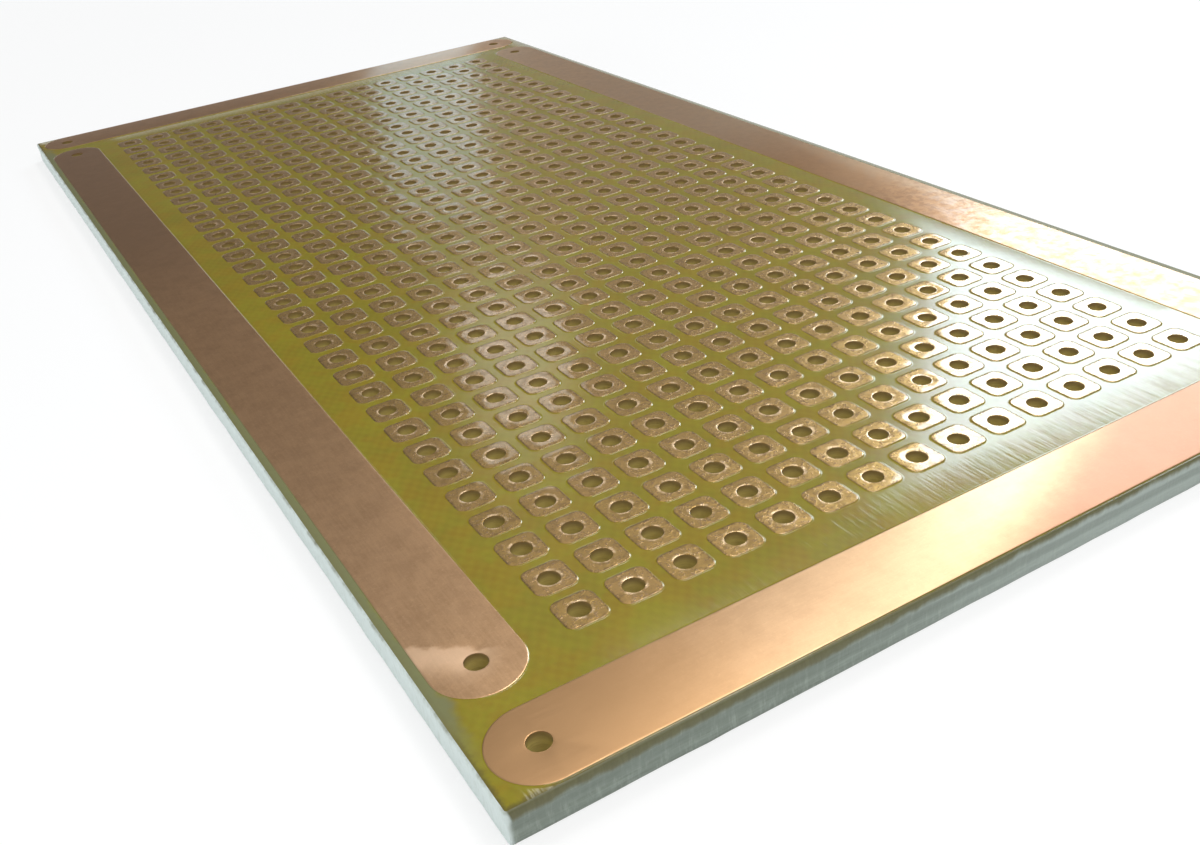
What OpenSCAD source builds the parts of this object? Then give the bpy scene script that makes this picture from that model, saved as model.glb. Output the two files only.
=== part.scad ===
// Prototype board: a bare fibreglass laminate, drilled all over on a standard grid, with copper on one face
// only. Every hole of the grid has its own square copper pad. Four wide copper strips frame the pads as supply
// rails: the two end rails run the full width, and the two side rails stop short between them.
// The board lies copper side up. The origin is the centre of its underside, X runs across it and Y along it.

/* [Board] */
// Width of the board, across the columns of pads
board_w = 50; // [30:0.5:100]
// Length of the board, along the columns of pads
board_l = 99; // [40:0.5:150]
// Thickness of the bare laminate
laminate_t = 1.6; // [0.6:0.1:3.2]
// Thickness of the copper foil
foil_t = 0.035; // [0.018:0.001:0.14]

/* [Pads] */
// Distance from hole to hole, both ways
pitch = 2.54; // [2.4:0.01:5.08]
// Side of a square pad
pad_w = 2; // [1.6:0.05:2.3]
// Radius of a pad's corners
pad_corner_r = 0.45; // [0.1:0.05:0.7]
// Diameter of a lead hole, through the pad and the laminate
lead_hole_d = 1; // [0.6:0.05:1.3]

/* [Supply rails] */
// Width of a rail
rail_w = 4; // [2:0.1:6]
// Bare laminate between a side rail and the long edge of the board
side_margin = 0.5; // [0.1:0.05:2]
// Bare laminate between an end rail and the short edge of the board
end_margin = 0.2; // [0.1:0.05:2]
// Bare laminate between an end rail and the end of each side rail
rail_gap = 1.08; // [0.3:0.02:3]
// Diameter of the hole at each end of a rail
supply_hole_d = 1; // [0.6:0.05:1.6]

/* [Hidden] */
COPPER = [0.72, 0.50, 0.38];
LAMINATE = [0.57, 0.54, 0.20];

// A whole pitch or more stays free between a rail's edge and the first holes, so this many fit between two rails
function count_between(room) = floor(room / pitch) - 1;

rail_room_x = board_w - 2 * (side_margin + rail_w);
rail_room_y = board_l - 2 * (end_margin + rail_w);
columns = count_between(rail_room_x);
rows = count_between(rail_room_y);

// Places of the columns and rows, counted from 1 at the left and the near end
function column_x(column) = (column - (columns + 1) / 2) * pitch;
function row_y(row) = (row - (rows + 1) / 2) * pitch;

// Centre lines of the rails, and their lengths
side_rail_x = board_w / 2 - side_margin - rail_w / 2;
end_rail_y = board_l / 2 - end_margin - rail_w / 2;
side_rail_l = rail_room_y - 2 * rail_gap;
end_rail_l = board_w - 2 * side_margin;

// A round end is half a circle, and the supply hole is at its centre
function round_end(rail_l) = (rail_l - rail_w) / 2;

function pad_row_name(row) = str("pad_row_", row < 10 ? "0" : "", row);

$fn = 48;

module copper_sheet() {
    color(COPPER) translate([0, 0, laminate_t]) linear_extrude(foil_t) children();
}

// The two supply holes of a rail that lies along X
module supply_holes(rail_l) {
    for (side = [-1, 1]) translate([side * round_end(rail_l), 0]) circle(d = supply_hole_d);
}

// A rail that lies along X, with round ends
module rail_outline(rail_l) {
    difference() {
        union() {
            square([2 * round_end(rail_l), rail_w], center = true);
            for (side = [-1, 1]) translate([side * round_end(rail_l), 0]) circle(d = rail_w);
        }
        supply_holes(rail_l);
    }
}

module pad_outline() {
    inner_w = pad_w - 2 * pad_corner_r;
    difference() {
        union() {
            square([pad_w, inner_w], center = true);
            square([inner_w, pad_w], center = true);
            for (x = [-1, 1], y = [-1, 1])
                translate([x, y] * inner_w / 2) circle(r = pad_corner_r);
        }
        circle(d = lead_hole_d);
    }
}

module end_rail(side) {
    copper_sheet() translate([0, side * end_rail_y]) rail_outline(end_rail_l);
}

module side_rail(side) {
    copper_sheet() translate([side * side_rail_x, 0]) rotate(90) rail_outline(side_rail_l);
}

module pad_row(row) {
    copper_sheet()
        for (column = [1:columns])
            translate([column_x(column), row_y(row)]) pad_outline();
}

module laminate() {
    color(LAMINATE) linear_extrude(laminate_t) difference() {
        square([board_w, board_l], center = true);
        for (column = [1:columns], row = [1:rows])
            translate([column_x(column), row_y(row)]) circle(d = lead_hole_d);
        for (side = [-1, 1]) {
            translate([0, side * end_rail_y]) supply_holes(end_rail_l);
            translate([side * side_rail_x, 0]) rotate(90) supply_holes(side_rail_l);
        }
    }
}

laminate();
end_rail(-1);  // end_rail_near
end_rail(1);  // end_rail_far
side_rail(-1);  // side_rail_left
side_rail(1);  // side_rail_right
for (row = [1:rows])
    pad_row(row);
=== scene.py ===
# %% [markdown]
# # A bare prototype board, copper side up
#
# A prototype board is a sheet of fibreglass laminate, drilled all over on a 2.54 mm grid. One face
# carries etched copper: a small square pad round every hole, and four wide rails that frame the field of
# pads. A clear lacquer is wiped over the whole face, so it shines, while the copper under it stays dull.
#
# This lesson dresses the packed model of such a board. The model gives every size, so the first step is
# to load it and to keep its box.

# %% Load the packed model
import math
import random

import bmesh
import bpy
from mathutils import Matrix, Vector, noise


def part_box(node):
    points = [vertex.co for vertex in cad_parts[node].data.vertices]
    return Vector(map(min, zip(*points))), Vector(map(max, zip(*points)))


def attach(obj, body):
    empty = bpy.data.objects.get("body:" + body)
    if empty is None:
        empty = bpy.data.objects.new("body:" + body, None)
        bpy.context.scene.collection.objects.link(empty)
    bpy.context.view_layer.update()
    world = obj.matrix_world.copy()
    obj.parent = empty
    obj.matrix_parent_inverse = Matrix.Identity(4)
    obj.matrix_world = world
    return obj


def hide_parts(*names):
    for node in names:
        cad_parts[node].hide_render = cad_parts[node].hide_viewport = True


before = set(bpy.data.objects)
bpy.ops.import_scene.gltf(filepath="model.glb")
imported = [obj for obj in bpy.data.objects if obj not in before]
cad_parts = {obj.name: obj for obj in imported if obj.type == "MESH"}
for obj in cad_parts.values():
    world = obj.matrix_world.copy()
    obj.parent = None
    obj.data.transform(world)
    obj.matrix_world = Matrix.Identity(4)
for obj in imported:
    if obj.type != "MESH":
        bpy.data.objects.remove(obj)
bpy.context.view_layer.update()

scene = bpy.context.scene
print("nodes loaded:", len(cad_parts))

# %% [markdown]
# The board is small, and its details are hundredths of a millimetre high. Every length on it is therefore
# written in millimetres, and a mesh is scaled to metres once, when it is finished. The sizes could be
# typed in again, but then they would go stale when the model changes. They come from the boxes of the
# packed nodes instead: the sheet and two rows of pads are enough to work out the grid.

# %% Read the board's sizes from the model
MM = 0.001


def box_mm(node):
    """The lowest and highest corner of a packed node, in millimetres."""
    low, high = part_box(node)
    return low / MM, high / MM


board_high = box_mm("laminate")[1]
first_low, first_high = box_mm("pad_row_01")
second_low = box_mm("pad_row_02")[0]

HALF_WIDTH = board_high.x
HALF_LENGTH = board_high.y
SHEET_TOP = board_high.z
FOIL_TOP = first_high.z
PAD = first_high.y - first_low.y
PITCH = second_low.y - first_low.y
COLUMNS = round((first_high.x - first_low.x - PAD) / PITCH) + 1
ROW_NAMES = sorted(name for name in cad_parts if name.startswith("pad_row_"))
ROWS = len(ROW_NAMES)

print(f"sheet {2 * HALF_WIDTH:.1f} x {2 * HALF_LENGTH:.1f} x {SHEET_TOP:.2f} mm")
print(f"{COLUMNS} columns and {ROWS} rows of {PAD:.2f} mm pads, {PITCH:.2f} mm apart")

# %% [markdown]
# Three things can't be read from a box: how wide the holes are, how round a pad's corners are, and how
# the holes sit. They could sit right on the grid, but a real drill wanders by a few hundredths of a
# millimetre, so no two holes sit quite alike in their pads. A seeded random table gives each hole its own
# small drift, and the sheet and the pads both read it, so that the hole in the copper stays right above
# the hole in the sheet.

# %% Place every hole
HOLE_R = 0.5
PAD_CORNER_R = 0.45
DRILL_DRIFT = 0.022
HOLE_POINTS = 32

drift = random.Random(7)


def grid_x(column):
    return (column - (COLUMNS - 1) / 2) * PITCH


def grid_y(row):
    return (row - (ROWS - 1) / 2) * PITCH


def drilled_at(x, y):
    """The place where the drill really went in, close to (x, y)."""
    return x + drift.gauss(0, DRILL_DRIFT), y + drift.gauss(0, DRILL_DRIFT)


lead_holes = [[drilled_at(grid_x(column), grid_y(row)) for column in range(COLUMNS)] for row in range(ROWS)]
print("lead holes:", sum(len(row) for row in lead_holes))

# %% [markdown]
# ## How the meshes are drawn
#
# Everything on the board is a flat sheet with rings cut into it: a round hole is a ring, and so is the
# outline of a pad or rail. Each form could be a boolean of plain solids, but booleans leave long thin
# faces and no control over the tiny slopes that catch the light. So a small helper draws the meshes from
# rings instead. `ring` lays down a closed loop of points, `band` joins two loops with a strip of faces,
# and `fill` closes the flat area between an outline and the holes in it. Bands are shaded smooth and flat
# areas stay flat.

# %% A helper that draws with rings
class Drawing:
    """A mesh in millimetres, made from closed rings of points."""

    def __init__(self):
        self.mesh = bmesh.new()

    def ring(self, outline, height):
        return [self.mesh.verts.new((x, y, height)) for x, y in outline]

    def band(self, ring, other, finish):
        """Joins two rings that have as many points."""
        for here in range(len(ring)):
            after = (here + 1) % len(ring)
            face = self.mesh.faces.new((ring[here], ring[after], other[after], other[here]))
            face.smooth = True
            face.material_index = finish

    def bands(self, rings, finishes):
        """Joins each ring to the one after it. There is one finish for each band."""
        for ring, other, finish in zip(rings, rings[1:], finishes):
            self.band(ring, other, finish)

    def fill(self, rings, finish):
        """Closes the flat area inside the first ring and outside the others."""
        edges = []
        for ring in rings:
            for start, end in zip(ring, ring[1:] + ring[:1]):
                edges.append(self.mesh.edges.get((start, end)) or self.mesh.edges.new((start, end)))
        made = bmesh.ops.triangle_fill(self.mesh, use_beauty=True, use_dissolve=False, edges=edges)
        for part in made["geom"]:
            if isinstance(part, bmesh.types.BMFace):
                part.smooth = False
                part.material_index = finish


print("a drawing can:", [name for name in vars(Drawing) if not name.startswith("_")])

# %% [markdown]
# A finished drawing becomes a piece of the board. It is scaled to metres here, in the mesh and not on the
# object, so that nothing is left to apply before an export. Edges where two faces meet at more than 50
# degrees stay sharp. The piece then rides on the board's root body, and the packed nodes that it stands
# for are hidden.

# %% Finish a piece
SHARP_ANGLE = math.radians(50)


def finish_piece(drawing, name, finishes, nodes):
    """Turns a drawing into a piece of the board, in metres, that stands for the given packed nodes."""
    bmesh.ops.recalc_face_normals(drawing.mesh, faces=drawing.mesh.faces[:])
    data = bpy.data.meshes.new(name)
    drawing.mesh.to_mesh(data)
    drawing.mesh.free()
    data.transform(Matrix.Scale(MM, 4))
    data.set_sharp_from_angle(angle=SHARP_ANGLE)
    for finish in finishes:
        data.materials.append(finish)
    piece = bpy.data.objects.new(name, data)
    scene.collection.objects.link(piece)
    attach(piece, "root")
    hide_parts(*nodes)
    return piece


def triangles(piece):
    return sum(len(face.vertices) - 2 for face in piece.data.polygons)


print(f"edges over {math.degrees(SHARP_ANGLE):.0f} degrees stay sharp")

# %% [markdown]
# Two outlines are needed again and again. A circle is easy. The rounded square of a pad has to have as
# many points as the circle, and in the same order, so that a band can join the two. Both start on the
# right and run anticlockwise, and both can be drawn a little larger or smaller, which gives the steps of
# an etched edge.

# %% Outlines
CORNER_STEPS = 4


def circle(centre, radius):
    turns = [2 * math.pi * step / HOLE_POINTS for step in range(HOLE_POINTS)]
    return [(centre[0] + radius * math.cos(turn), centre[1] + radius * math.sin(turn)) for turn in turns]


def pad_outline(centre, grow):
    """A square with rounded corners, grown by the given distance: 8 points to a quarter."""
    inner = PAD / 2 - PAD_CORNER_R
    radius = PAD_CORNER_R + grow
    quarter = [(PAD / 2 + grow, 0), (PAD / 2 + grow, inner / 2)]
    for step in range(CORNER_STEPS + 1):
        turn = math.pi / 2 * step / CORNER_STEPS
        quarter.append((inner + radius * math.cos(turn), inner + radius * math.sin(turn)))
    quarter.append((inner / 2, PAD / 2 + grow))
    points = list(quarter)
    for _ in range(3):
        quarter = [(-y, x) for x, y in quarter]
        points.extend(quarter)
    return [(centre[0] + x, centre[1] + y) for x, y in points]


print("points in a circle and in a pad's outline:", len(circle((0, 0), 1)), len(pad_outline((0, 0), 0)))

# %% [markdown]
# ## How the finishes are painted
#
# Every finish is a network of shader nodes. Written node by node, the sums in it are hard to read, so one
# small class wraps an output socket and lets ordinary arithmetic add the Math nodes. Each operator has a
# reflected form too, for a plain number on its left, so `1 - mask` works as well as `mask * 0.5`.

# %% Shader arithmetic
class Value:
    """The number that a socket gives. Arithmetic on it adds Math nodes."""

    def __init__(self, tree, socket):
        self.tree = tree
        self.socket = socket

    def __add__(self, other):
        return self.tree.math("ADD", self, other)

    def __radd__(self, other):
        return self.tree.math("ADD", other, self)

    def __sub__(self, other):
        return self.tree.math("SUBTRACT", self, other)

    def __rsub__(self, other):
        return self.tree.math("SUBTRACT", other, self)

    def __mul__(self, other):
        return self.tree.math("MULTIPLY", self, other)

    def __rmul__(self, other):
        return self.tree.math("MULTIPLY", other, self)

    def __truediv__(self, other):
        return self.tree.math("DIVIDE", self, other)

    def __rtruediv__(self, other):
        return self.tree.math("DIVIDE", other, self)

    def __abs__(self):
        return self.tree.math("ABSOLUTE", self)


methods = [name.strip("_") for name, kind in vars(Value).items() if callable(kind)]
print("a value can:", [name for name in methods if name != "init"])

# %% [markdown]
# A second class holds the node tree. Its `node` method makes any node from its type, its settings and the
# values of its sockets. Colours are mixed and vectors are worked out with their own nodes, because a Math
# node would turn a colour grey. `ease` is a soft step from 0 to 1, and `clouds` is soft noise. Nearly
# every mask on the board is one of these two.

# %% A node tree to build in
class Nodes:
    """A node tree to build in."""

    def __init__(self, tree):
        self.tree = tree

    def node(self, kind, settings=None, sockets=None, output=0):
        """Adds a node and gives the value of one of its outputs."""
        made = self.tree.nodes.new(kind)
        for name, setting in (settings or {}).items():
            setattr(made, name, setting)
        for name, value in (sockets or {}).items():
            self.feed(made.inputs[name], value)
        return Value(self, made.outputs[output])

    def feed(self, socket, value):
        """Links a value to a socket, or writes a plain number, colour or vector on it."""
        if isinstance(value, Value):
            self.tree.links.new(value.socket, socket)
        else:
            socket.default_value = value

    def math(self, operation, *values):
        return self.node("ShaderNodeMath", {"operation": operation}, dict(enumerate(values)))

    def vector(self, operation, *values, output=0):
        return self.node("ShaderNodeVectorMath", {"operation": operation}, dict(enumerate(values)), output)

    def mix(self, factor, colour, other):
        """Mixes two colours. Socket 0 of a colour mix is the factor, and 6 and 7 are the colours."""
        sockets = {0: factor, 6: colour, 7: other}
        return self.node("ShaderNodeMix", {"data_type": "RGBA"}, sockets, output=2)

    def ease(self, value, start, end):
        """Goes smoothly from 0 at start to 1 at end. It falls instead where start is above end."""
        low, high, first, last = (start, end, 0.0, 1.0) if start < end else (end, start, 1.0, 0.0)
        settings = {"interpolation_type": "SMOOTHSTEP"}
        sockets = {"Value": value, "From Min": low, "From Max": high, "To Min": first, "To Max": last}
        return self.node("ShaderNodeMapRange", settings, sockets)

    def clouds(self, place, scale, detail=2.0, roughness=0.5):
        """Soft noise around 0.5: its waves to a millimetre, its finer layers and how strong they are."""
        sockets = {"Vector": place, "Scale": scale, "Detail": detail, "Roughness": roughness}
        return self.node("ShaderNodeTexNoise", {}, sockets)


print("a node tree can:", [name for name in vars(Nodes) if not name.startswith("_")])

# %% [markdown]
# A finish is a material with one Principled shader. Places could come from an unwrapped mesh, but the
# Object output of Texture Coordinate needs no unwrapping, and the same millimetres then serve the faces,
# the edge and the walls. What is the same all over is set on the shader's own sockets, and only what
# changes over the surface is linked: colour, roughness, the lacquer's weight and the bump.

# %% A finish
class Finish(Nodes):
    """A material, with its place on the board in millimetres."""

    def __init__(self, name, **fixed):
        self.material = bpy.data.materials.new(name)
        self.material.use_nodes = True
        super().__init__(self.material.node_tree)
        self.shader = self.tree.nodes["Principled BSDF"]
        for socket, value in fixed.items():
            self.shader.inputs[socket.replace("_", " ")].default_value = value
        metres = self.node("ShaderNodeTexCoord", output="Object")
        self.place = self.vector("MULTIPLY", metres, (1 / MM, 1 / MM, 1 / MM))
        self.x = self.node("ShaderNodeSeparateXYZ", {}, {0: self.place}, "X")
        self.y = self.node("ShaderNodeSeparateXYZ", {}, {0: self.place}, "Y")
        self.z = self.node("ShaderNodeSeparateXYZ", {}, {0: self.place}, "Z")

    def stretched(self, x, y, z):
        """The place, with each direction scaled by itself, which draws noise out into streaks."""
        return self.vector("MULTIPLY", self.place, (x, y, z))

    def paint(self, **varying):
        for socket, value in varying.items():
            self.feed(self.shader.inputs[socket.replace("_", " ")], value)

    def bump(self, height, depth):
        """Raises the surface by height, where 1 stands for depth in millimetres."""
        sockets = {"Height": height, "Distance": depth * MM, "Strength": 1.0}
        self.paint(Normal=self.node("ShaderNodeBump", {}, sockets))


print("a finish can:", [name for name in vars(Finish) if not name.startswith("_")])

# %% [markdown]
# ## The lacquered face of the laminate
#
# Uncoloured laminate is olive: yellow resin over glass cloth. Its colour drifts from leaf green to orange
# brown every millimetre or two, because the resin is never quite even. The cloth shows as a faint grid of
# crossing threads, 0.58 mm apart one way and 0.82 mm the other. Close to the two long edges the cloth
# lies almost bare and is grey green, and the rest of the rim is painted darker. A picture could show all
# this, but it would blur this close and fit only one board. So it is soft noise, mixed in by masks that
# are worked out from the place on the sheet.

# %% Mix the colour of the resin
THREAD_X = 0.58
THREAD_Y = 0.82
DARK_OLIVE = (0.184, 0.136, 0.001, 1)
PALE_OLIVE = (0.240, 0.196, 0.003, 1)
ORANGE_BROWN = (0.245, 0.150, 0.001, 1)
LEAF_GREEN = (0.200, 0.200, 0.003, 1)
THREAD_YELLOW = (0.284, 0.238, 0.010, 1)
RESIN_SPECK = (0.205, 0.135, 0.003, 1)
BARE_CLOTH = (0.150, 0.168, 0.085, 1)
# The rim of the top face is darker.
DARK_RIM = (0.085, 0.070, 0.012, 1)
MARGIN_SIDE = (HALF_WIDTH - 1.05, HALF_WIDTH - 0.45)
MARGIN_END = (HALF_LENGTH - 1.5, HALF_LENGTH - 6.0)
RIM_FROM_EDGE = (-0.38, -0.10)


def woven(finish):
    """The glass cloth: 1 where a thread lies on top, 0 where it dives under."""
    wander = finish.clouds(finish.place, 0.6, 1.0) * 1.6
    across = finish.math("SINE", finish.x * (2 * math.pi / THREAD_X) + wander)
    along = finish.math("SINE", finish.y * (2 * math.pi / THREAD_Y) + wander)
    return across * along * 0.5 + 0.5


def resin_colour(finish, fine):
    """Olive resin over cloth, with a bare margin on the long sides and a darker rim."""
    cloudy = finish.ease(finish.clouds(finish.place, 0.32, 3.0, 0.55), 0.3, 0.7)
    toned = finish.ease(finish.clouds(finish.place, 0.55, 3.0, 0.6), 0.38, 0.62)
    colour = finish.mix(cloudy, DARK_OLIVE, PALE_OLIVE)
    colour = finish.mix(toned * 0.55, colour, ORANGE_BROWN)
    colour = finish.mix((1 - toned) * 0.30, colour, LEAF_GREEN)
    colour = finish.mix(woven(finish) * 0.28, colour, THREAD_YELLOW)
    colour = finish.mix(finish.ease(fine, 0.35, 0.75) * 0.35, colour, RESIN_SPECK)
    margin = finish.ease(abs(finish.x) + (toned - 0.5) * 0.4, *MARGIN_SIDE)
    margin = margin * finish.ease(abs(finish.y), *MARGIN_END)
    colour = finish.mix(margin * 0.8, colour, BARE_CLOTH)
    outside = finish.math("MAXIMUM", abs(finish.x) - HALF_WIDTH, abs(finish.y) - HALF_LENGTH)
    rim = finish.ease(outside + (fine - 0.5) * 0.3, *RIM_FROM_EDGE)
    return finish.mix(rim * (1 - margin * 0.8) * 0.8, colour, DARK_RIM)


print(f"threads {THREAD_X} mm apart across the sheet and {THREAD_Y} mm along it")

# %% [markdown]
# The lacquer on top is glossy but not flat. It was wiped on along the board, so the bare strips at both
# ends show fine streaks, and everywhere else it has the slow waves of a coat that has run together. On
# the right the wiping also left dull streaks between the glossy ones. The lacquer could be a clear mesh
# above the resin, but it is far too thin for one, so it is the gloss of the resin's own shader: the waves
# and streaks are bump, and the dull streaks are roughness.

# %% Paint the lacquered laminate
FIELD_END = grid_y(ROWS - 1) + PAD / 2
BARE_STRIP = (FIELD_END - 0.2, FIELD_END + 0.9)
WIPED_SIDE = (-6.0, 3.0)


def lacquered_laminate():
    finish = Finish("lacquered laminate", Specular_IOR_Level=0.5, IOR=1.5)
    fine = finish.clouds(finish.place, 3.2, 3.0, 0.6)
    waves = finish.clouds(finish.place, 0.75, 2.0, 0.45)
    streaks = finish.clouds(finish.stretched(3.8, 0.40, 1.0), 1.0, 2.5, 0.55)
    at_ends = finish.ease(abs(finish.y), *BARE_STRIP)
    wiped = at_ends * finish.ease(finish.x, *WIPED_SIDE) * finish.ease(streaks, 0.42, 0.68)
    finish.paint(Base_Color=resin_colour(finish, fine), Roughness=0.15 + fine * 0.05 + wiped * 0.06)
    finish.bump(waves * 0.55 + streaks * at_ends * 1.5 + fine * 0.03, depth=0.008)
    return finish.material


LAMINATE_FACE = lacquered_laminate()
print("painted:", LAMINATE_FACE.name)

# %% [markdown]
# ## The cut edge
#
# The sheet was sheared to size. The blade leaves a smooth band along the top of the edge, and below it
# the sheet broke: the layers of cloth show there as rough, grey-green fibres, with a darker layer of resin
# along the middle. The smooth band is painted dark, partly as painted shade on the top of the edge. The
# long sides broke almost to the top and are painted the palest, partly as painted light; the ends grow
# paler towards the right, where their dark band is shallower. The layers could be modelled, but each is
# thinner than a hair, so noise that is squeezed flat draws them. More noise makes the height ragged where
# the smooth band ends.

# %% Paint the cut edge
SHEARED_DEPTH = 0.42
SHEARED_END = (SHEET_TOP - SHEARED_DEPTH + 0.42, SHEET_TOP - SHEARED_DEPTH + 0.10)
RESIN_BELOW = (0.62, 0.86)
RESIN_ABOVE = (1.30, 1.10)
LONG_SIDE = (HALF_WIDTH - 0.3, HALF_WIDTH - 0.1)
TOWARDS_RIGHT = (-16.0, 6.0)
SMOOTH_DARK = (0.070, 0.068, 0.022, 1)
SMOOTH_PALE = (0.140, 0.135, 0.055, 1)
LAYER_DARK = (0.130, 0.155, 0.120, 1)
LAYER_PALE = (0.300, 0.350, 0.310, 1)
BROKEN_GLASS_AND_LIGHT = (0.58, 0.65, 0.63, 1)
GLASS_FIBRE = (0.40, 0.45, 0.40, 1)
RESIN_LAYER = (0.150, 0.180, 0.150, 1)


def cut_edge():
    finish = Finish("cut edge")
    ragged = finish.clouds(finish.stretched(1.3, 1.3, 0.4), 1.0, 3.0, 0.6) * 0.5
    layers = finish.clouds(finish.stretched(0.5, 0.5, 9.0), 1.0, 3.0, 0.65)
    fibres = finish.clouds(finish.stretched(6.0, 6.0, 1.1), 1.0, 3.0, 0.7)
    long_side = finish.ease(abs(finish.x), *LONG_SIDE)
    to_right = finish.ease(finish.x, *TOWARDS_RIGHT) * (1 - long_side)
    height = finish.z + ragged - to_right * 0.22 - long_side * 0.45
    broken = finish.ease(height, *SHEARED_END)
    # The smooth band at the top is painted dark, partly as painted shade.
    smooth = finish.mix(fibres, SMOOTH_DARK, SMOOTH_PALE)
    rough = finish.mix(layers, LAYER_DARK, LAYER_PALE)
    # Pale on the long sides and towards the right; on the long sides this is partly painted light.
    rough = finish.mix(long_side * 0.95 + to_right * 0.35, rough, BROKEN_GLASS_AND_LIGHT)
    rough = finish.mix(finish.ease(fibres, 0.45, 0.75) * 0.4, rough, GLASS_FIBRE)
    level = finish.z + ragged * 0.4
    middle = finish.ease(level, *RESIN_BELOW) * finish.ease(level, *RESIN_ABOVE)
    rough = finish.mix(middle * (1 - long_side) * 0.45, rough, RESIN_LAYER)
    finish.paint(Base_Color=finish.mix(broken, smooth, rough), Roughness=0.42 + broken * 0.35)
    finish.bump(layers * broken + fibres * (0.3 + broken * 0.7), depth=0.03)
    return finish.material


CUT_EDGE = cut_edge()
print("painted:", CUT_EDGE.name)

# %% [markdown]
# The drill leaves fine rings down the wall of a hole. The top of the wall is painted dark, as painted
# shade, and further down it is painted pale yellow, as painted light that glows through the sheet. A wave
# texture could draw the rings, but too evenly, so noise that is squeezed flat does it, as on the cut edge.

# %% Paint the drilled walls
# The wall's top is painted dark as painted shade, and its lower part pale as painted light glowing through
# the sheet.
SHADED_WALL_TOP = (0.250, 0.165, 0.060, 1)
GLOWING_WALL_BELOW = (0.660, 0.550, 0.185, 1)
DRILL_RING = (0.34, 0.25, 0.06, 1)
WALL_SHADE_DEPTH = (SHEET_TOP - 0.02, SHEET_TOP - 0.45)


def drilled_wall():
    finish = Finish("drilled wall")
    rings = finish.clouds(finish.stretched(1.2, 1.2, 14.0), 1.0, 3.0, 0.6)
    fibres = finish.clouds(finish.place, 6.0, 2.0)
    # Painted shade at the top of the wall, and painted light glowing through the sheet further down.
    depth = finish.ease(finish.z, *WALL_SHADE_DEPTH)
    colour = finish.mix(depth, SHADED_WALL_TOP, GLOWING_WALL_BELOW)
    colour = finish.mix(finish.ease(rings, 0.4, 0.75) * 0.4, colour, DRILL_RING)
    finish.paint(Base_Color=colour, Roughness=0.5 + fibres * 0.25)
    finish.bump(rings + fibres * 0.4, depth=0.02)
    return finish.material


DRILLED_WALL = drilled_wall()
print("painted:", DRILLED_WALL.name)

# %% [markdown]
# ## The underside
#
# The underside was never coated, so it is duller. The sheet lets light through, and the copper on the
# other side shows as a faint shadow behind every pad and rail. The shadows could be left out, but whoever
# turns the board over looks for them. Those of the pads need no list of places: a remainder after
# division by the pitch says how far each point is from the nearest pad.

# %% Paint the underside
DULL_OLIVE = (0.300, 0.270, 0.075, 1)
DULL_YELLOW = (0.370, 0.340, 0.105, 1)
DULL_THREAD = (0.46, 0.43, 0.19, 1)
COPPER_SHADOW = (0.215, 0.165, 0.055, 1)
SHADOW_BLUR = 0.16


def behind_pads(finish):
    column = abs(finish.math("FLOORED_MODULO", finish.x + PITCH / 2, PITCH) - PITCH / 2)
    row = abs(finish.math("FLOORED_MODULO", finish.y, PITCH) - PITCH / 2)
    from_middle = finish.math("MAXIMUM", column, row)
    pads = finish.ease(from_middle, PAD / 2 + SHADOW_BLUR, PAD / 2 - SHADOW_BLUR)
    beyond = finish.math("MAXIMUM", abs(finish.x) - grid_x(COLUMNS - 1), abs(finish.y) - grid_y(ROWS - 1))
    return pads * finish.ease(beyond, PITCH / 2 + 0.1, PITCH / 2)


def behind_rails(finish):
    side_low, side_high = box_mm("side_rail_right")
    end_low, end_high = box_mm("end_rail_far")
    side = finish.ease(abs(finish.x), side_low.x - SHADOW_BLUR, side_low.x + SHADOW_BLUR)
    side = side * finish.ease(abs(finish.x), side_high.x + SHADOW_BLUR, side_high.x - SHADOW_BLUR)
    side = side * finish.ease(abs(finish.y), side_high.y + SHADOW_BLUR, side_high.y - SHADOW_BLUR)
    end = finish.ease(abs(finish.y), end_low.y - SHADOW_BLUR, end_low.y + SHADOW_BLUR)
    end = end * finish.ease(abs(finish.x), end_high.x + SHADOW_BLUR, end_high.x - SHADOW_BLUR)
    return finish.math("MAXIMUM", side, end)


def bare_underside():
    finish = Finish("bare underside")
    cloudy = finish.ease(finish.clouds(finish.place, 0.25, 3.0, 0.6), 0.3, 0.7)
    fine = finish.clouds(finish.place, 4.0, 3.0, 0.6)
    weave = woven(finish)
    shadow = finish.math("MAXIMUM", behind_pads(finish), behind_rails(finish))
    colour = finish.mix(cloudy, DULL_OLIVE, DULL_YELLOW)
    colour = finish.mix(weave * 0.35, colour, DULL_THREAD)
    colour = finish.mix(shadow * 0.55, colour, COPPER_SHADOW)
    finish.paint(Base_Color=colour, Roughness=0.38 + fine * 0.18)
    finish.bump(weave * 0.6 + fine * 0.5, depth=0.008)
    return finish.material


UNDERSIDE = bare_underside()
print("painted:", UNDERSIDE.name)

# %% [markdown]
# ## Copper under lacquer
#
# The foil is dull before it is coated: it was brushed clean, so it is rough, and its brown tarnish is
# patchy. It could be a plain brown under gloss, but only a metal tints what it mirrors. So it is painted
# as metal with a middling roughness, and the lacquer is the shader's coat, smooth and clear. The coat is
# thin in places, so its weight varies. A plain metal turns white at its grazing edge, and a copper tint
# on the specular keeps that edge warm, as it is under lacquer. Rails and pads share this recipe.

# %% Recipe for lacquered copper
BRIGHT_COPPER = (0.680, 0.425, 0.240, 1)
PLAIN_COPPER = (0.550, 0.330, 0.170, 1)
BROWN_COPPER = (0.410, 0.240, 0.115, 1)
WARM_EDGE = (1.0, 0.80, 0.66, 1)


def copper_finish(name, metallic, lacquer):
    """A new copper finish: how metallic its face looks, and how rough the lacquer over it is."""
    return Finish(name, Metallic=metallic, Specular_Tint=WARM_EDGE, Coat_Roughness=lacquer, Coat_IOR=1.5)


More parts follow.
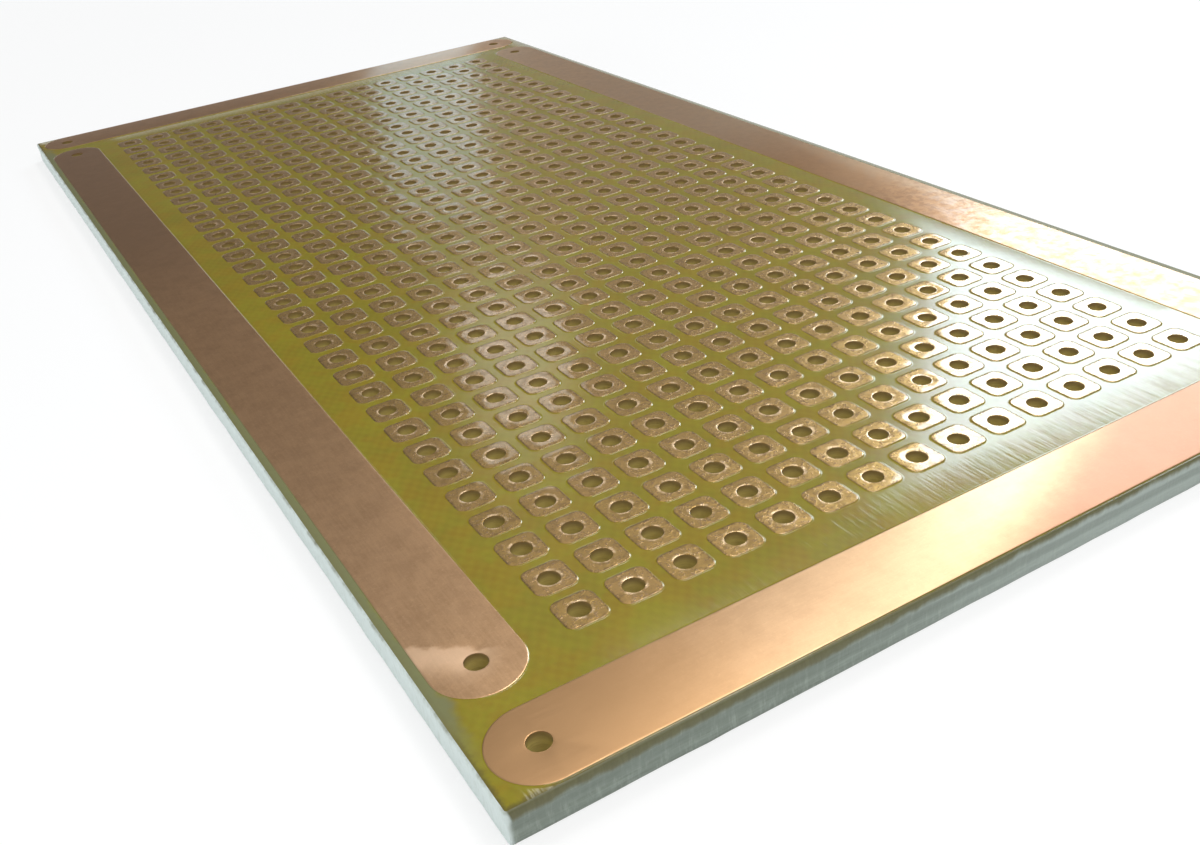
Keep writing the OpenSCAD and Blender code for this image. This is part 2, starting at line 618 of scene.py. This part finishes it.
def tarnished(finish):
    """The colour of the foil: plain copper with soft brown patches and fine specks."""
    patches = finish.ease(finish.clouds(finish.place, 0.9, 5.0, 0.68), 0.35, 0.70)
    specks = finish.ease(finish.clouds(finish.place, 5.5, 2.0, 0.6), 0.55, 0.75)
    colour = finish.mix(patches * 0.6, PLAIN_COPPER, BROWN_COPPER)
    return finish.mix(specks * 0.35, colour, BRIGHT_COPPER)


print("plain copper, red, green and blue:", PLAIN_COPPER[:3])

# %% [markdown]
# The four rails differ, by their own ageing and by painted light, yet all are one copper. Four materials
# could paint them, but they would repeat almost everything. One material is shorter: masks made from the
# place on the board tell the rails apart, and an end rail is whatever lies beyond the field of pads. The
# near rail's right end is painted darker, as painted shade, along a slanting border. One noise frays
# every such border, so that no wear and no painted shade ends in a line.

# %% Tell the rails apart
RAIL_GAP = FIELD_END + 2.0
END_RAILS = (RAIL_GAP - 0.2, RAIL_GAP + 0.2)
NEAR_RAIL = (-RAIL_GAP + 0.2, -RAIL_GAP - 0.2)
RIGHT_RAIL = (HALF_WIDTH - 5.0, HALF_WIDTH - 4.7)
# Where the near rail's right end is painted darker, as painted shade: its start and its slant.
SHADED_RIGHT_END = (0.0, 9.0)
SHADE_SLANT = 2.2
FRAY = 3.0


class RailPlaces:
    """Masks that tell the rails apart, and the noise that frays every border on them."""

    def __init__(self, finish):
        self.is_end = finish.ease(abs(finish.y), *END_RAILS)
        self.is_near = finish.ease(finish.y, *NEAR_RAIL)
        self.is_right = finish.ease(finish.x, *RIGHT_RAIL) * (1 - self.is_end)
        self.uneven = finish.clouds(finish.place, 1.6, 3.0, 0.6)
        # The near rail's right end, behind a slanting, frayed border: painted darker, as painted shade.
        inwards = finish.y + RAIL_GAP + 2.0
        shaded_right_end = finish.ease(finish.x - inwards * SHADE_SLANT + self.uneven * FRAY, *SHADED_RIGHT_END)
        self.shaded_right_end = shaded_right_end * self.is_near


print(f"the end rails start {RAIL_GAP:.2f} mm from the middle")

# %% [markdown]
# The near rail has lost most of its lacquer. Its colour carries painted light: it is painted pale in the
# middle as a painted sheen, and brown at its left end and reddish at its right end as painted shade. The
# left rail is painted browner towards its far end, also as painted shade. The right one has a dark
# blotched patch in its near half, and it is hazy on its outer side and in its far half. Each of these is
# one more colour, mixed in by a mask of its own, so each can be changed by itself.

# %% Mix in the wear and painted light of each rail
# A painted sheen and a reddish painted shade, for the painted light on the near rail.
PAINTED_SHEEN = (0.60, 0.41, 0.26, 1)
REDDISH_SHADE = (0.375, 0.190, 0.128, 1)
# The brown painted on the left rail towards its far end, as painted shade.
FAR_SHADE_BROWN = (0.290, 0.165, 0.082, 1)
RIGHT_BROWN = (0.275, 0.155, 0.085, 1)
HAZE = (0.44, 0.33, 0.23, 1)
DARK_BLOTCH = (0.130, 0.060, 0.034, 1)
# Where the near rail's left end is painted brown, as painted shade.
SHADED_LEFT_END = (-10.0, -19.0)
# Where the left rail is painted browner towards its far end, as painted shade.
SHADE_TOWARDS_FAR = (-4.0, 18.0)
SHADE_ON_LEFT = (0.0, -20.0)
HAZY_OUTSIDE = (HALF_WIDTH - 2.6, HALF_WIDTH - 0.8)
HAZY_FAR = (-9.0, 8.0)
PATCH_STARTS = (-25.5, -19.0)
PATCH_ENDS = (-8.5, -17.0)


def paint_light_on_near_rail(finish, places, colour):
    # Painted light on the near rail: the paler middle is a painted sheen, and the brown left end and the
    # reddish right end are painted shade.
    shaded_left_end = finish.ease(finish.x + places.uneven * 2.0, *SHADED_LEFT_END) * places.is_near
    bare = places.is_near * (1 - shaded_left_end) * (1 - places.shaded_right_end)
    colour = finish.mix(bare * 0.35, colour, PAINTED_SHEEN)
    colour = finish.mix(shaded_left_end * 0.9, colour, BROWN_COPPER)
    return finish.mix(places.shaded_right_end * 0.75, colour, REDDISH_SHADE)


def age_and_shade_side_rails(finish, places, colour):
    # The left rail is painted browner towards its far end: painted shade.
    far_shade = finish.ease(finish.y, *SHADE_TOWARDS_FAR) * finish.ease(finish.x, *SHADE_ON_LEFT) * (1 - places.is_end)
    colour = finish.mix(far_shade * 0.6, colour, FAR_SHADE_BROWN)
    colour = finish.mix(places.is_right * 0.8, colour, RIGHT_BROWN)
    outer = finish.ease(finish.x + (places.uneven - 0.5) * 2.0, *HAZY_OUTSIDE)
    hazy = finish.math("MAXIMUM", outer * 0.5, finish.ease(finish.y, *HAZY_FAR) * 0.9)
    colour = finish.mix(places.is_right * hazy, colour, HAZE)
    frayed = finish.y + places.uneven * FRAY
    patch = finish.ease(frayed, *PATCH_STARTS) * finish.ease(frayed, *PATCH_ENDS)
    blotches = finish.ease(finish.clouds(finish.place, 1.9, 4.0, 0.7), 0.42, 0.60)
    return finish.mix(places.is_right * patch * (0.24 + blotches * 0.36), colour, DARK_BLOTCH)


print("the dark patch lies from", PATCH_STARTS[0], "to", PATCH_ENDS[0], "mm along the right rail")

# %% [markdown]
# Beside the supply hole at the near end of the left rail, something rubbed the lacquer off. The scuff
# starts at the rail's outer edge, is sharp along its upper side and fades out below and beyond the hole.
# A mask painted by hand could have any shape, but this one needs only four slopes, measured along and
# across its own slanting direction and multiplied.

# %% Scuff the left rail
SCUFF_AT = Vector((-22.77, -41.67))
SCUFF_ALONG = Vector((0.81, -0.59))
SCUFFED_COPPER = (0.76, 0.56, 0.40, 1)
SHARP_SIDE = (0.62, 0.30)
SOFT_SIDE = (-1.7, -0.1)
FADES_OUT = (1.9, 0.0)
FADES_IN = (-3.0, -2.2)


def scuffed(finish, uneven):
    """A worn patch that runs from the rail's outer edge past its supply hole."""
    across = (finish.x - SCUFF_AT.x) * -SCUFF_ALONG.y + (finish.y - SCUFF_AT.y) * SCUFF_ALONG.x
    along = (finish.x - SCUFF_AT.x) * SCUFF_ALONG.x + (finish.y - SCUFF_AT.y) * SCUFF_ALONG.y
    across = across + (uneven - 0.5) * 0.8
    above = finish.ease(across, *SHARP_SIDE)
    below = finish.ease(across, *SOFT_SIDE)
    return above * below * finish.ease(along, *FADES_OUT) * finish.ease(along, *FADES_IN)


print("the scuff starts at", tuple(SCUFF_AT), "mm")

# %% [markdown]
# The brush left fine marks along each rail. They are far too many to model, so noise stretched along the
# rail draws them, one way for the side rails and the other for the end rails. They go into the colour,
# the roughness and the bump, because a scratch is brighter, rougher and lower than what is beside it. The
# lacquer's weight falls where the rail is worn or scuffed.

# %% Paint the rails
def brush_marks(finish, is_end):
    side_marks = finish.clouds(finish.stretched(11.0, 0.9, 1.0), 1.0, 3.0, 0.6)
    end_marks = finish.clouds(finish.stretched(0.9, 11.0, 1.0), 1.0, 3.0, 0.6)
    return side_marks + (end_marks - side_marks) * is_end


def rail_copper():
    finish = copper_finish("rail copper", metallic=1.0, lacquer=0.13)
    places = RailPlaces(finish)
    brushed = brush_marks(finish, places.is_end)
    grain = finish.clouds(finish.place, 14.0, 2.0, 0.7)
    scuff = scuffed(finish, places.uneven)
    colour = tarnished(finish)
    colour = finish.mix(finish.ease(brushed, 0.35, 0.7) * 0.22, colour, BRIGHT_COPPER)
    colour = finish.mix(finish.ease(grain, 0.5, 0.8) * 0.5, colour, BROWN_COPPER)
    colour = paint_light_on_near_rail(finish, places, colour)
    colour = age_and_shade_side_rails(finish, places, colour)
    colour = finish.mix(scuff * 0.5, colour, SCUFFED_COPPER)
    roughness = 0.27 + brushed * 0.10 + scuff * 0.16 + places.is_near * 0.03 + places.shaded_right_end * 0.13
    lacquer = 0.45 + places.uneven * 0.5 - places.is_right * (0.95 - places.uneven)
    lacquer = lacquer * (1 - scuff * 0.8) * (1 - places.is_near * 0.85)
    finish.paint(Base_Color=colour, Roughness=roughness, Coat_Weight=lacquer)
    height = brushed * 0.4 + places.uneven * (0.6 + places.is_right * 1.6) + grain * 0.25
    finish.bump(height, depth=0.004)
    return finish.material


RAIL_COPPER = rail_copper()
print("painted:", RAIL_COPPER.name)

# %% [markdown]
# The pads are small islands, and they tarnished more than the rails before they were coated. They are
# painted three quarters metal, because a thick oxide is partly a plain brown layer. Every pad has its own
# shade, brown stains, small bright flecks that are also smoother, a dark border along its edge, and a
# bright broken ring round its hole where the drill threw up a burr; the ring is partly a painted highlight
# on the burr. The lacquer drew itself smooth on such small islands, so it is glossier than on the rails.
# A material for each pad would make 510 of them. One is enough: dividing the place by the pitch gives each
# pad a number, which draws its shade, and the distance from its middle, which draws the border and the
# ring.

# %% Paint the pads
YELLOWED = (0.370, 0.250, 0.045, 1)
OXIDE = (0.325, 0.193, 0.044, 1)
STAIN = (0.175, 0.105, 0.028, 1)
FLECK = (0.52, 0.34, 0.18, 1)
# A dark colour along the edge of each pad.
DARK_BORDER = (0.110, 0.066, 0.018, 1)
# Partly the burr's fresh copper, partly a painted highlight on it.
BURR_AND_HIGHLIGHT = (0.85, 0.62, 0.38, 1)
OXIDE_SHARE = 0.75
BURR_AND_HIGHLIGHT_RING = (HOLE_R + 0.16, HOLE_R + 0.04)
BORDER_RING = (PAD / 2 - 0.14, PAD / 2 + 0.02)


class PadPlaces:
    """Where a point lies on its own pad, and that pad's own shade."""

    def __init__(self, finish):
        column = finish.math("ROUND", finish.x / PITCH)
        row = finish.math("ROUND", finish.y / PITCH + 0.5)
        number = finish.node("ShaderNodeCombineXYZ", {}, {"X": column, "Y": row, "Z": 0.0})
        self.shade = finish.node("ShaderNodeTexWhiteNoise", {}, {"Vector": number}, "Value")
        middle_x = finish.x - column * PITCH
        middle_y = finish.y - (row - 0.5) * PITCH
        self.from_hole = finish.math("SQRT", middle_x * middle_x + middle_y * middle_y)
        self.reach = finish.math("SMOOTH_MAX", abs(middle_x), abs(middle_y), 0.3)


def pad_copper():
    finish = copper_finish("pad copper", metallic=0.75, lacquer=0.07)
    places = PadPlaces(finish)
    ragged = finish.clouds(finish.place, 5.0, 2.0, 0.6)
    broken = finish.ease(finish.clouds(finish.place, 1.9, 2.0, 0.6), 0.42, 0.62)
    burr = finish.ease(places.from_hole + (ragged - 0.5) * 0.22, *BURR_AND_HIGHLIGHT_RING) * broken
    rim = finish.ease(places.reach + (ragged - 0.5) * 0.25, *BORDER_RING)
    stains = finish.ease(finish.clouds(finish.place, 2.6, 4.0, 0.7), 0.44, 0.62)
    flecks = finish.ease(finish.clouds(finish.place, 5.2, 3.0, 0.7), 0.52, 0.68)
    colour = tarnished(finish)
    colour = finish.mix(0.3 + places.shade * 0.5, colour, YELLOWED)
    colour = finish.mix(OXIDE_SHARE, colour, OXIDE)
    colour = finish.mix(stains * 0.65, colour, STAIN)
    colour = finish.mix(flecks * 0.65, colour, FLECK)
    colour = finish.mix(rim * 0.85, colour, DARK_BORDER)
    # The bright ring round the hole: partly burr, partly a painted highlight.
    colour = finish.mix(burr * 0.8, colour, BURR_AND_HIGHLIGHT)
    roughness = 0.24 + ragged * 0.09 + stains * 0.06 - flecks * 0.17
    finish.paint(Base_Color=colour, Roughness=roughness, Coat_Weight=0.95 - stains * 0.40 - rim * 0.3)
    finish.bump(ragged * 1.1 + stains, depth=0.006)
    return finish.material


PAD_COPPER = pad_copper()
print("painted:", PAD_COPPER.name)

# %% [markdown]
# ## The drilled sheet
#
# The outside edge is a stack of rings, drawn in steps of about a millimetre. A modifier could roughen it,
# but it would roughen the holes too and push some points outwards. So each point of the outline is pushed
# inwards a little by noise: hardly at all in the sheared band at the top, and more in the broken part
# below it. Nothing is pushed outwards, so the sheet keeps its size.

# %% Walk round the edge of the sheet
EDGE_STEP = 1.0
SHEET_CORNER_R = 0.18
SHEET_CORNER_STEPS = 3
LUMPS, LUMP_LAYERS = 0.9, 2.3
CHIPS, CHIP_LAYERS = 3.1, 5.0


def broken_away(place, height):
    """How much of the edge is broken away at a place: wide lumps with small chips on them."""
    lumps = noise.noise((place.x * LUMPS, place.y * LUMPS, height * LUMP_LAYERS)) * 0.5 + 0.5
    chips = noise.noise((place.x * CHIPS, place.y * CHIPS, height * CHIP_LAYERS)) * 0.5
    return max(0.0, lumps + chips)


def sheet_outline(inset, jitter, height):
    """The sheet's outline at one height, as points a step apart, pushed inwards by the inset and by noise."""
    corners = [(1, -1, -90), (1, 1, 0), (-1, 1, 90), (-1, -1, 180)]
    walk = []
    for side_x, side_y, start in corners:
        centre = Vector((side_x * (HALF_WIDTH - SHEET_CORNER_R), side_y * (HALF_LENGTH - SHEET_CORNER_R)))
        for step in range(SHEET_CORNER_STEPS + 1):
            turn = math.radians(start + 90 * step / SHEET_CORNER_STEPS)
            outward = Vector((math.cos(turn), math.sin(turn)))
            walk.append((centre + outward * SHEET_CORNER_R, outward))
    points = []
    for (here, outward), (after, _) in zip(walk, walk[1:] + walk[:1]):
        steps = max(1, round((after - here).length / EDGE_STEP))
        for step in range(steps):
            place = here.lerp(after, step / steps)
            push = Vector((round(outward.x), round(outward.y))) if step else outward
            place = place - push * (inset + jitter * broken_away(place, height))
            points.append((place.x, place.y))
    return points


# Height, how far the ring is set in, and how rough it is.
EDGE_STEPS = [
    (SHEET_TOP, 0.095, 0.012),
    (SHEET_TOP - 0.025, 0.035, 0.010),
    (SHEET_TOP - 0.075, 0.006, 0.008),
    (SHEET_TOP - SHEARED_DEPTH, 0.000, 0.010),
    (SHEET_TOP - SHEARED_DEPTH - 0.10, 0.012, 0.040),
    (0.80, 0.020, 0.070),
    (0.42, 0.020, 0.070),
    (0.07, 0.010, 0.050),
    (0.00, 0.060, 0.030),
]
print("points round the edge:", len(sheet_outline(0, 0, 0)))

# %% [markdown]
# The sheet's two faces are flat areas with 518 rings in them, so `fill` closes each with one call. The
# walls of the holes are single bands. Where the drill came out, on the underside, each rim is broken by a
# narrow chamfer. The supply holes need no table: each is the centre of its rail's half-round end, so the
# rail's box gives it.

# %% Draw the sheet
FACE, EDGE, WALL, UNDER = range(4)

# How far outside the hole's radius, and how high.
DRILLED_EDGE = [
    (0.000, SHEET_TOP),
    (0.000, 0.070),
    (0.020, 0.018),
    (0.050, 0.000),
]


def supply_holes():
    """The middle of the hole at each end of each rail."""
    centres = []
    for name in ("side_rail_left", "side_rail_right", "end_rail_near", "end_rail_far"):
        low, high = box_mm(name)
        middle = (low + high) / 2
        half = (high - low) / 2
        reach = max(half.x, half.y) - min(half.x, half.y)
        along = Vector((reach, 0, 0)) if half.x > half.y else Vector((0, reach, 0))
        for end in (middle - along, middle + along):
            centres.append((end.x, end.y))
    return centres


def draw_sheet():
    drawing = Drawing()
    outside = [drawing.ring(sheet_outline(inset, jitter, z), z) for z, inset, jitter in EDGE_STEPS]
    drawing.bands(outside, [EDGE] * (len(outside) - 1))
    top_rings = [outside[0]]
    under_rings = [outside[-1]]
    centres = [hole for row in lead_holes for hole in row] + supply_holes()
    for centre in centres:
        rings = [drawing.ring(circle(centre, HOLE_R + out), z) for out, z in DRILLED_EDGE]
        drawing.bands(rings, [WALL, WALL, UNDER])
        top_rings.append(rings[0])
        under_rings.append(rings[-1])
    drawing.fill(top_rings, FACE)
    drawing.fill(under_rings, UNDER)
    finishes = [LAMINATE_FACE, CUT_EDGE, DRILLED_WALL, UNDERSIDE]
    return finish_piece(drawing, "drilled_sheet", finishes, ["laminate"])


sheet = draw_sheet()
print("drilled sheet:", triangles(sheet), "triangles")

# %% [markdown]
# ## The pads
#
# A pad is 35 thousandths of a millimetre thick, which sounds like nothing, but its edge is what makes it
# look real. The etch rounds the copper's shoulder, and the lacquer climbs up against it in a gentle
# slope. Those slopes face other ways than the board does, so they show as thin dark lines where the board
# shines, and as bright points elsewhere. Round the hole the drill has thrown up a low burr. A bevel could
# round the shoulder, but it couldn't draw the lacquer or the burr. So both slopes are short tables: how
# far each ring lies outside the pad's outline, or outside the hole, and how high it is as a share of the
# foil. The etched edge also says what the band that ends at each ring is made of.

# %% Heights across an etched edge
FOIL = FOIL_TOP - SHEET_TOP
COPPER, LACQUER = range(2)
ETCHED_EDGE = [
    (-0.060, 0.92, COPPER),
    (-0.022, 0.87, COPPER),
    (-0.002, 0.68, COPPER),
    (0.020, 0.21, LACQUER),
    (0.055, 0.05, LACQUER),
    (0.105, 0.00, LACQUER),
]
BURR_EDGE = [
    (0.000, 0.80),
    (0.014, 0.95),
    (0.045, 1.00),
    (0.095, 0.92),
]
print(f"foil {FOIL * 1000:.0f} thousandths of a millimetre thick")

# %% [markdown]
# A pad is a stack of rings from the wall of its hole, over the burr and the flat copper, out to the foot
# of the lacquer slope, and back under the copper to the wall. The outermost bands are lacquer on
# laminate. One pad could be copied along the grid, but each is drawn by itself, because its hole sits in
# its own place and its burr's crest leans its own way. A row of fifteen pads is one piece, as it is one
# packed node.

# %% Draw the pads
BURR_DIP = 0.09
BURR_LEAN = 0.08
BURR_CHIP = 0.05
burrs = random.Random(11)


def burr_rings(drawing, centre):
    """The hole in the copper: its wall, and a burr whose crest is a little uneven."""
    rings = [drawing.ring(circle(centre, HOLE_R), SHEET_TOP)]
    lean = burrs.uniform(0, 2 * math.pi)
    for out, rise in BURR_EDGE:
        ring = drawing.ring(circle(centre, HOLE_R + out), SHEET_TOP + FOIL * rise)
        for step, corner in enumerate(ring):
            turn = 2 * math.pi * step / len(ring)
            lower = BURR_DIP + BURR_LEAN * math.cos(turn - lean) + burrs.uniform(0, BURR_CHIP)
            if 0 < out < BURR_EDGE[-1][0]:
                corner.co.z -= FOIL * lower
        rings.append(ring)
    return rings


def draw_pad(drawing, pad_centre, hole_centre):
    rings = burr_rings(drawing, hole_centre)
    finishes = [COPPER] * len(rings)
    for grow, rise, finish in ETCHED_EDGE:
        rings.append(drawing.ring(pad_outline(pad_centre, grow), SHEET_TOP + FOIL * rise))
        finishes.append(finish)
    rings.append(rings[0])
    drawing.bands(rings, finishes[1:] + [LACQUER])


def draw_pad_row(row):
    drawing = Drawing()
    for column in range(COLUMNS):
        draw_pad(drawing, (grid_x(column), grid_y(row)), lead_holes[row][column])
    name = f"pads_{row + 1:02d}"
    return finish_piece(drawing, name, [PAD_COPPER, LAMINATE_FACE], [ROW_NAMES[row]])


pad_rows = [draw_pad_row(row) for row in range(ROWS)]
print("pads:", sum(triangles(piece) for piece in pad_rows), "triangles in", len(pad_rows), "pieces")

# %% [markdown]
# ## The rails
#
# A rail has the same edge as a pad, drawn along an outline with half-round ends, and the same burr round
# its two supply holes. The burr's last ring is brought level with the flat top, which is one area with
# two holes in it, so `fill` closes it.

# %% Draw the rails
ROUND_STEPS = 28
RAIL_STEP = 2.0


def rail_outline(low, high, grow):
    """A strip with half-round ends, grown by the given distance. It lies along its longer side."""
    middle = (low + high) / 2
    half = (high - low) / 2
    lies_along_x = half.x > half.y
    radius = min(half.x, half.y)
    reach = max(half.x, half.y) - radius
    steps = round(2 * reach / RAIL_STEP)
    points = []
    for end in (1, -1):
        for step in range(ROUND_STEPS + 1):
            turn = math.pi * (step / ROUND_STEPS - 0.5)
            x = reach + (radius + grow) * math.cos(turn)
            y = (radius + grow) * math.sin(turn)
            points.append((end * x, end * y))
        for step in range(1, steps):
            points.append((end * (reach - 2 * reach * step / steps), end * (radius + grow)))
    if not lies_along_x:
        points = [(-y, x) for x, y in points]
    return [(middle.x + x, middle.y + y) for x, y in points]


def draw_rail(node, name):
    low, high = box_mm(node)
    drawing = Drawing()
    edge = []
    for grow, rise, _ in ETCHED_EDGE:
        edge.append(drawing.ring(rail_outline(low, high, grow), SHEET_TOP + FOIL * rise))
    drawing.bands(edge, [finish for _, _, finish in ETCHED_EDGE[1:]])
    holes = []
    for centre in supply_holes():
        if low.x < centre[0] < high.x and low.y < centre[1] < high.y:
            holes.append(burr_rings(drawing, centre))
    for rings in holes:
        drawing.bands(rings, [COPPER] * (len(rings) - 1))
        for corner in rings[-1]:
            corner.co.z = edge[0][0].co.z
    drawing.fill([edge[0]] + [rings[-1] for rings in holes], COPPER)
    drawing.fill([edge[-1]] + [rings[0] for rings in holes], LACQUER)
    return finish_piece(drawing, name, [RAIL_COPPER, LAMINATE_FACE], [node])


RAILS = {
    "end_rail_near": "rail_near",
    "end_rail_far": "rail_far",
    "side_rail_left": "rail_left",
    "side_rail_right": "rail_right",
}
rails = [draw_rail(node, name) for node, name in RAILS.items()]
print("rails:", [triangles(piece) for piece in rails], "triangles")

# %% [markdown]
# ## The table
#
# The board lies on a plain white table, far larger than the board. The table isn't part of the board.
# Stronger lamps could make it white, but they would bleach the board too. A little light of its own, seen
# by the camera and in reflections alone, keeps it white, and the board's soft shadow still shows on it.

# %% Lay the table
TABLE_HALF = 1500
TABLE_DROP = 0.01
TABLE_WHITE = (0.96, 0.97, 0.975, 1)
TABLE_ROUGHNESS = 0.6
TABLE_GLOW = 0.69


def table():
    data = bpy.data.meshes.new("table")
    corners = [(x * TABLE_HALF * MM, y * TABLE_HALF * MM, 0) for x, y in ((-1, -1), (1, -1), (1, 1), (-1, 1))]
    data.from_pydata(corners, [], [(0, 1, 2, 3)])
    top = bpy.data.objects.new("table", data)
    top.location.z = -TABLE_DROP * MM
    scene.collection.objects.link(top)
    white = bpy.data.materials.new("white table")
    white.use_nodes = True
    nodes = Nodes(white.node_tree)
    base = white.node_tree.nodes["Principled BSDF"]
    base.inputs["Base Color"].default_value = TABLE_WHITE
    base.inputs["Roughness"].default_value = TABLE_ROUGHNESS
    seen = nodes.node("ShaderNodeLightPath", output="Is Camera Ray")
    glossy = nodes.node("ShaderNodeLightPath", output="Is Glossy Ray")
    through = nodes.node("ShaderNodeLightPath", output="Is Transmission Ray")
    share = nodes.math("MINIMUM", seen + glossy + through, 1.0) * TABLE_GLOW
    glow = nodes.node("ShaderNodeEmission", {}, {"Color": (1.0, 1.0, 1.0, 1), "Strength": 1.0})
    body = Value(nodes, base.outputs[0])
    mixed = nodes.node("ShaderNodeMixShader", {}, {0: share, 1: body, 2: glow})
    nodes.feed(white.node_tree.nodes["Material Output"].inputs["Surface"], mixed)
    data.materials.append(white)


table()
print("table:", 2 * TABLE_HALF, "mm wide")

# %% [markdown]
# ## Light
#
# A board like this is judged by its shine. A picture of a room could light it, but then nothing in the
# shine could be moved by itself, so the light is laid out piece by piece, by what the lacquer mirrors.
# Most of it comes from the room, at one plain level all round. The far side of the room is dim, and the
# lacquer mirrors it, so the olive under the lacquer keeps its depth there. One stretch of that side is a
# paler wall. The horizon is white all round: it is the pale backdrop behind the table, and the edges of
# the board catch it.

# %% Light the room
ROOM_LEVEL = 0.54
CORNER_LOW = 0.15
CORNER_HIGH = 0.62
WALL_LEVEL = 0.14
HORIZON_LEVEL = 1.0
CORNER_SIDE = 84
CORNER_SPREAD = (-0.4, 0.35)
WALL_SIDE = 56
WALL_SPREAD = (0.97, 0.99)
OVERHEAD = (0.38, 0.74)
HORIZON = (0.17, 0.08)
ROOM_WHITE = (1.0, 0.99, 0.98, 1)


def direction(azimuth, elevation):
    """The direction that points so many degrees round from the X axis, and so many up."""
    turn, lift = math.radians(azimuth), math.radians(elevation)
    return Vector((math.cos(turn) * math.cos(lift), math.sin(turn) * math.cos(lift), math.sin(lift)))


def light_room():
    world = bpy.data.worlds.new("room")
    world.use_nodes = True
    scene.world = world
    nodes = Nodes(world.node_tree)
    toward = nodes.node("ShaderNodeTexCoord", output="Generated")
    up = nodes.node("ShaderNodeSeparateXYZ", {}, {0: toward}, "Z")
    flat = nodes.vector("NORMALIZE", nodes.vector("MULTIPLY", toward, (1, 1, 0)))
    to_corner = nodes.vector("DOT_PRODUCT", flat, direction(CORNER_SIDE, 0), output="Value")
    to_wall = nodes.vector("DOT_PRODUCT", flat, direction(WALL_SIDE, 0), output="Value")
    in_corner = nodes.ease(to_corner, *CORNER_SPREAD)
    on_wall = nodes.ease(to_wall, *WALL_SPREAD)
    overhead = nodes.ease(up, *OVERHEAD)
    corner = CORNER_LOW + on_wall * WALL_LEVEL * (1 - overhead) + overhead * (CORNER_HIGH - CORNER_LOW)
    level = ROOM_LEVEL + in_corner * (corner - ROOM_LEVEL)
    level = level + nodes.ease(up, *HORIZON) * (HORIZON_LEVEL - level)
    background = world.node_tree.nodes["Background"]
    background.inputs["Color"].default_value = ROOM_WHITE
    nodes.feed(background.inputs["Strength"], level)


light_room()
print("room lit from", CORNER_LOW, "to", ROOM_LEVEL)

# %% [markdown]
# Each lamp is a rectangle, placed by the direction in which one point of the board sees it and by its
# width and height in degrees, so that its reflection can be laid on the board pad by pad. A window stands
# behind the board on the right, in two panes and a sill: the lower pane and the sill shine on the near
# right pads, and the upper pane on the near rail. Beside it, two narrow cards, one above the other, draw
# a faint gleam down the middle of the field. A low card on the left lights the broken long edge. A small
# top light hangs close above the near end, and because it is close, its light falls off towards the far
# end. The camera doesn't see the lamps.

# %% Hang the lamps
GLINT = Vector((14, -33, 1.6)) * MM
FAR_OFF = 2.5


def lamp(name, azimuth, elevation, wide, high, radiance, distance=FAR_OFF, colour=(1, 1, 1)):
    """A rectangular lamp: its direction and its width and height are in degrees, its distance in metres."""
    toward = direction(azimuth, elevation)
    data = bpy.data.lights.new(name, "AREA")
    data.shape = "RECTANGLE"
    data.size = 2 * distance * math.tan(math.radians(wide) / 2)
    data.size_y = 2 * distance * math.tan(math.radians(high) / 2)
    data.energy = math.pi * data.size * data.size_y * radiance
    data.color = colour
    made = bpy.data.objects.new(name, data)
    made.location = GLINT + toward * distance
    made.rotation_euler = toward.to_track_quat("Z", "Y").to_euler()
    made.visible_camera = False
    scene.collection.objects.link(made)


lamp("window", azimuth=36, elevation=29.95, wide=16.2, high=11.9, radiance=11.5, colour=(0.74, 0.88, 1.0))
lamp("window sill", azimuth=36.1, elevation=22.0, wide=16.6, high=4.2, radiance=9.8, colour=(0.74, 0.90, 1.0))
lamp("upper pane", azimuth=43, elevation=58, wide=16, high=14, radiance=10.5, colour=(1.0, 0.98, 0.95))
lamp("gleam card", azimuth=67.2, elevation=27.8, wide=4.6, high=7, radiance=1.95)
lamp("low card", azimuth=69.6, elevation=13.2, wide=4.6, high=12, radiance=1.15, colour=(0.62, 0.88, 1.0))
lamp("left card", azimuth=170, elevation=6.5, wide=50, high=12, radiance=6.8, colour=(0.94, 0.97, 1.0))
lamp("top light", azimuth=-98, elevation=63, wide=40, high=40, radiance=2.6, distance=0.11)

# %% [markdown]
# ## The camera
#
# The camera is close: only 61 mm from the part of the board that it aims at, so the near pads look three
# times as large as the far ones. It looks down at 30 degrees, across the board from its near left corner,
# and leans a few degrees to one side. A constraint could aim it, but not lean it, so three turns do both,
# one after the other.

# %% Place the camera
AIM = Vector((-9.715, -29.901, 1.635)) * MM
DISTANCE = 60.878 * MM
LOOKS_TOWARDS = math.radians(62.555)
LOOKS_DOWN = math.radians(30.405)
LEANS = math.radians(-6.288)
LENS = 36.634
SENSOR = 36
NEAREST = 1 * MM
FARTHEST = 10

turned = Matrix.Rotation(LOOKS_TOWARDS - math.pi / 2, 4, "Z")
tilted = Matrix.Rotation(math.pi / 2 - LOOKS_DOWN, 4, "X")
leaning = Matrix.Rotation(LEANS, 4, "Z")
pose = turned @ tilted @ leaning
camera_data = bpy.data.cameras.new("camera")
camera_data.sensor_width = SENSOR
camera_data.lens = LENS
camera_data.clip_start = NEAREST
camera_data.clip_end = FARTHEST
camera = bpy.data.objects.new("camera", camera_data)
camera.matrix_world = Matrix.Translation(AIM + pose.to_3x3() @ Vector((0, 0, DISTANCE))) @ pose
scene.collection.objects.link(camera)
scene.camera = camera
scene.view_settings.view_transform = "Standard"
print("camera at", [round(value / MM, 2) for value in camera.matrix_world.translation], "mm")

# %% [markdown]
# ## Compare the boxes
# The dressed board has to stay inside the packed model's box.
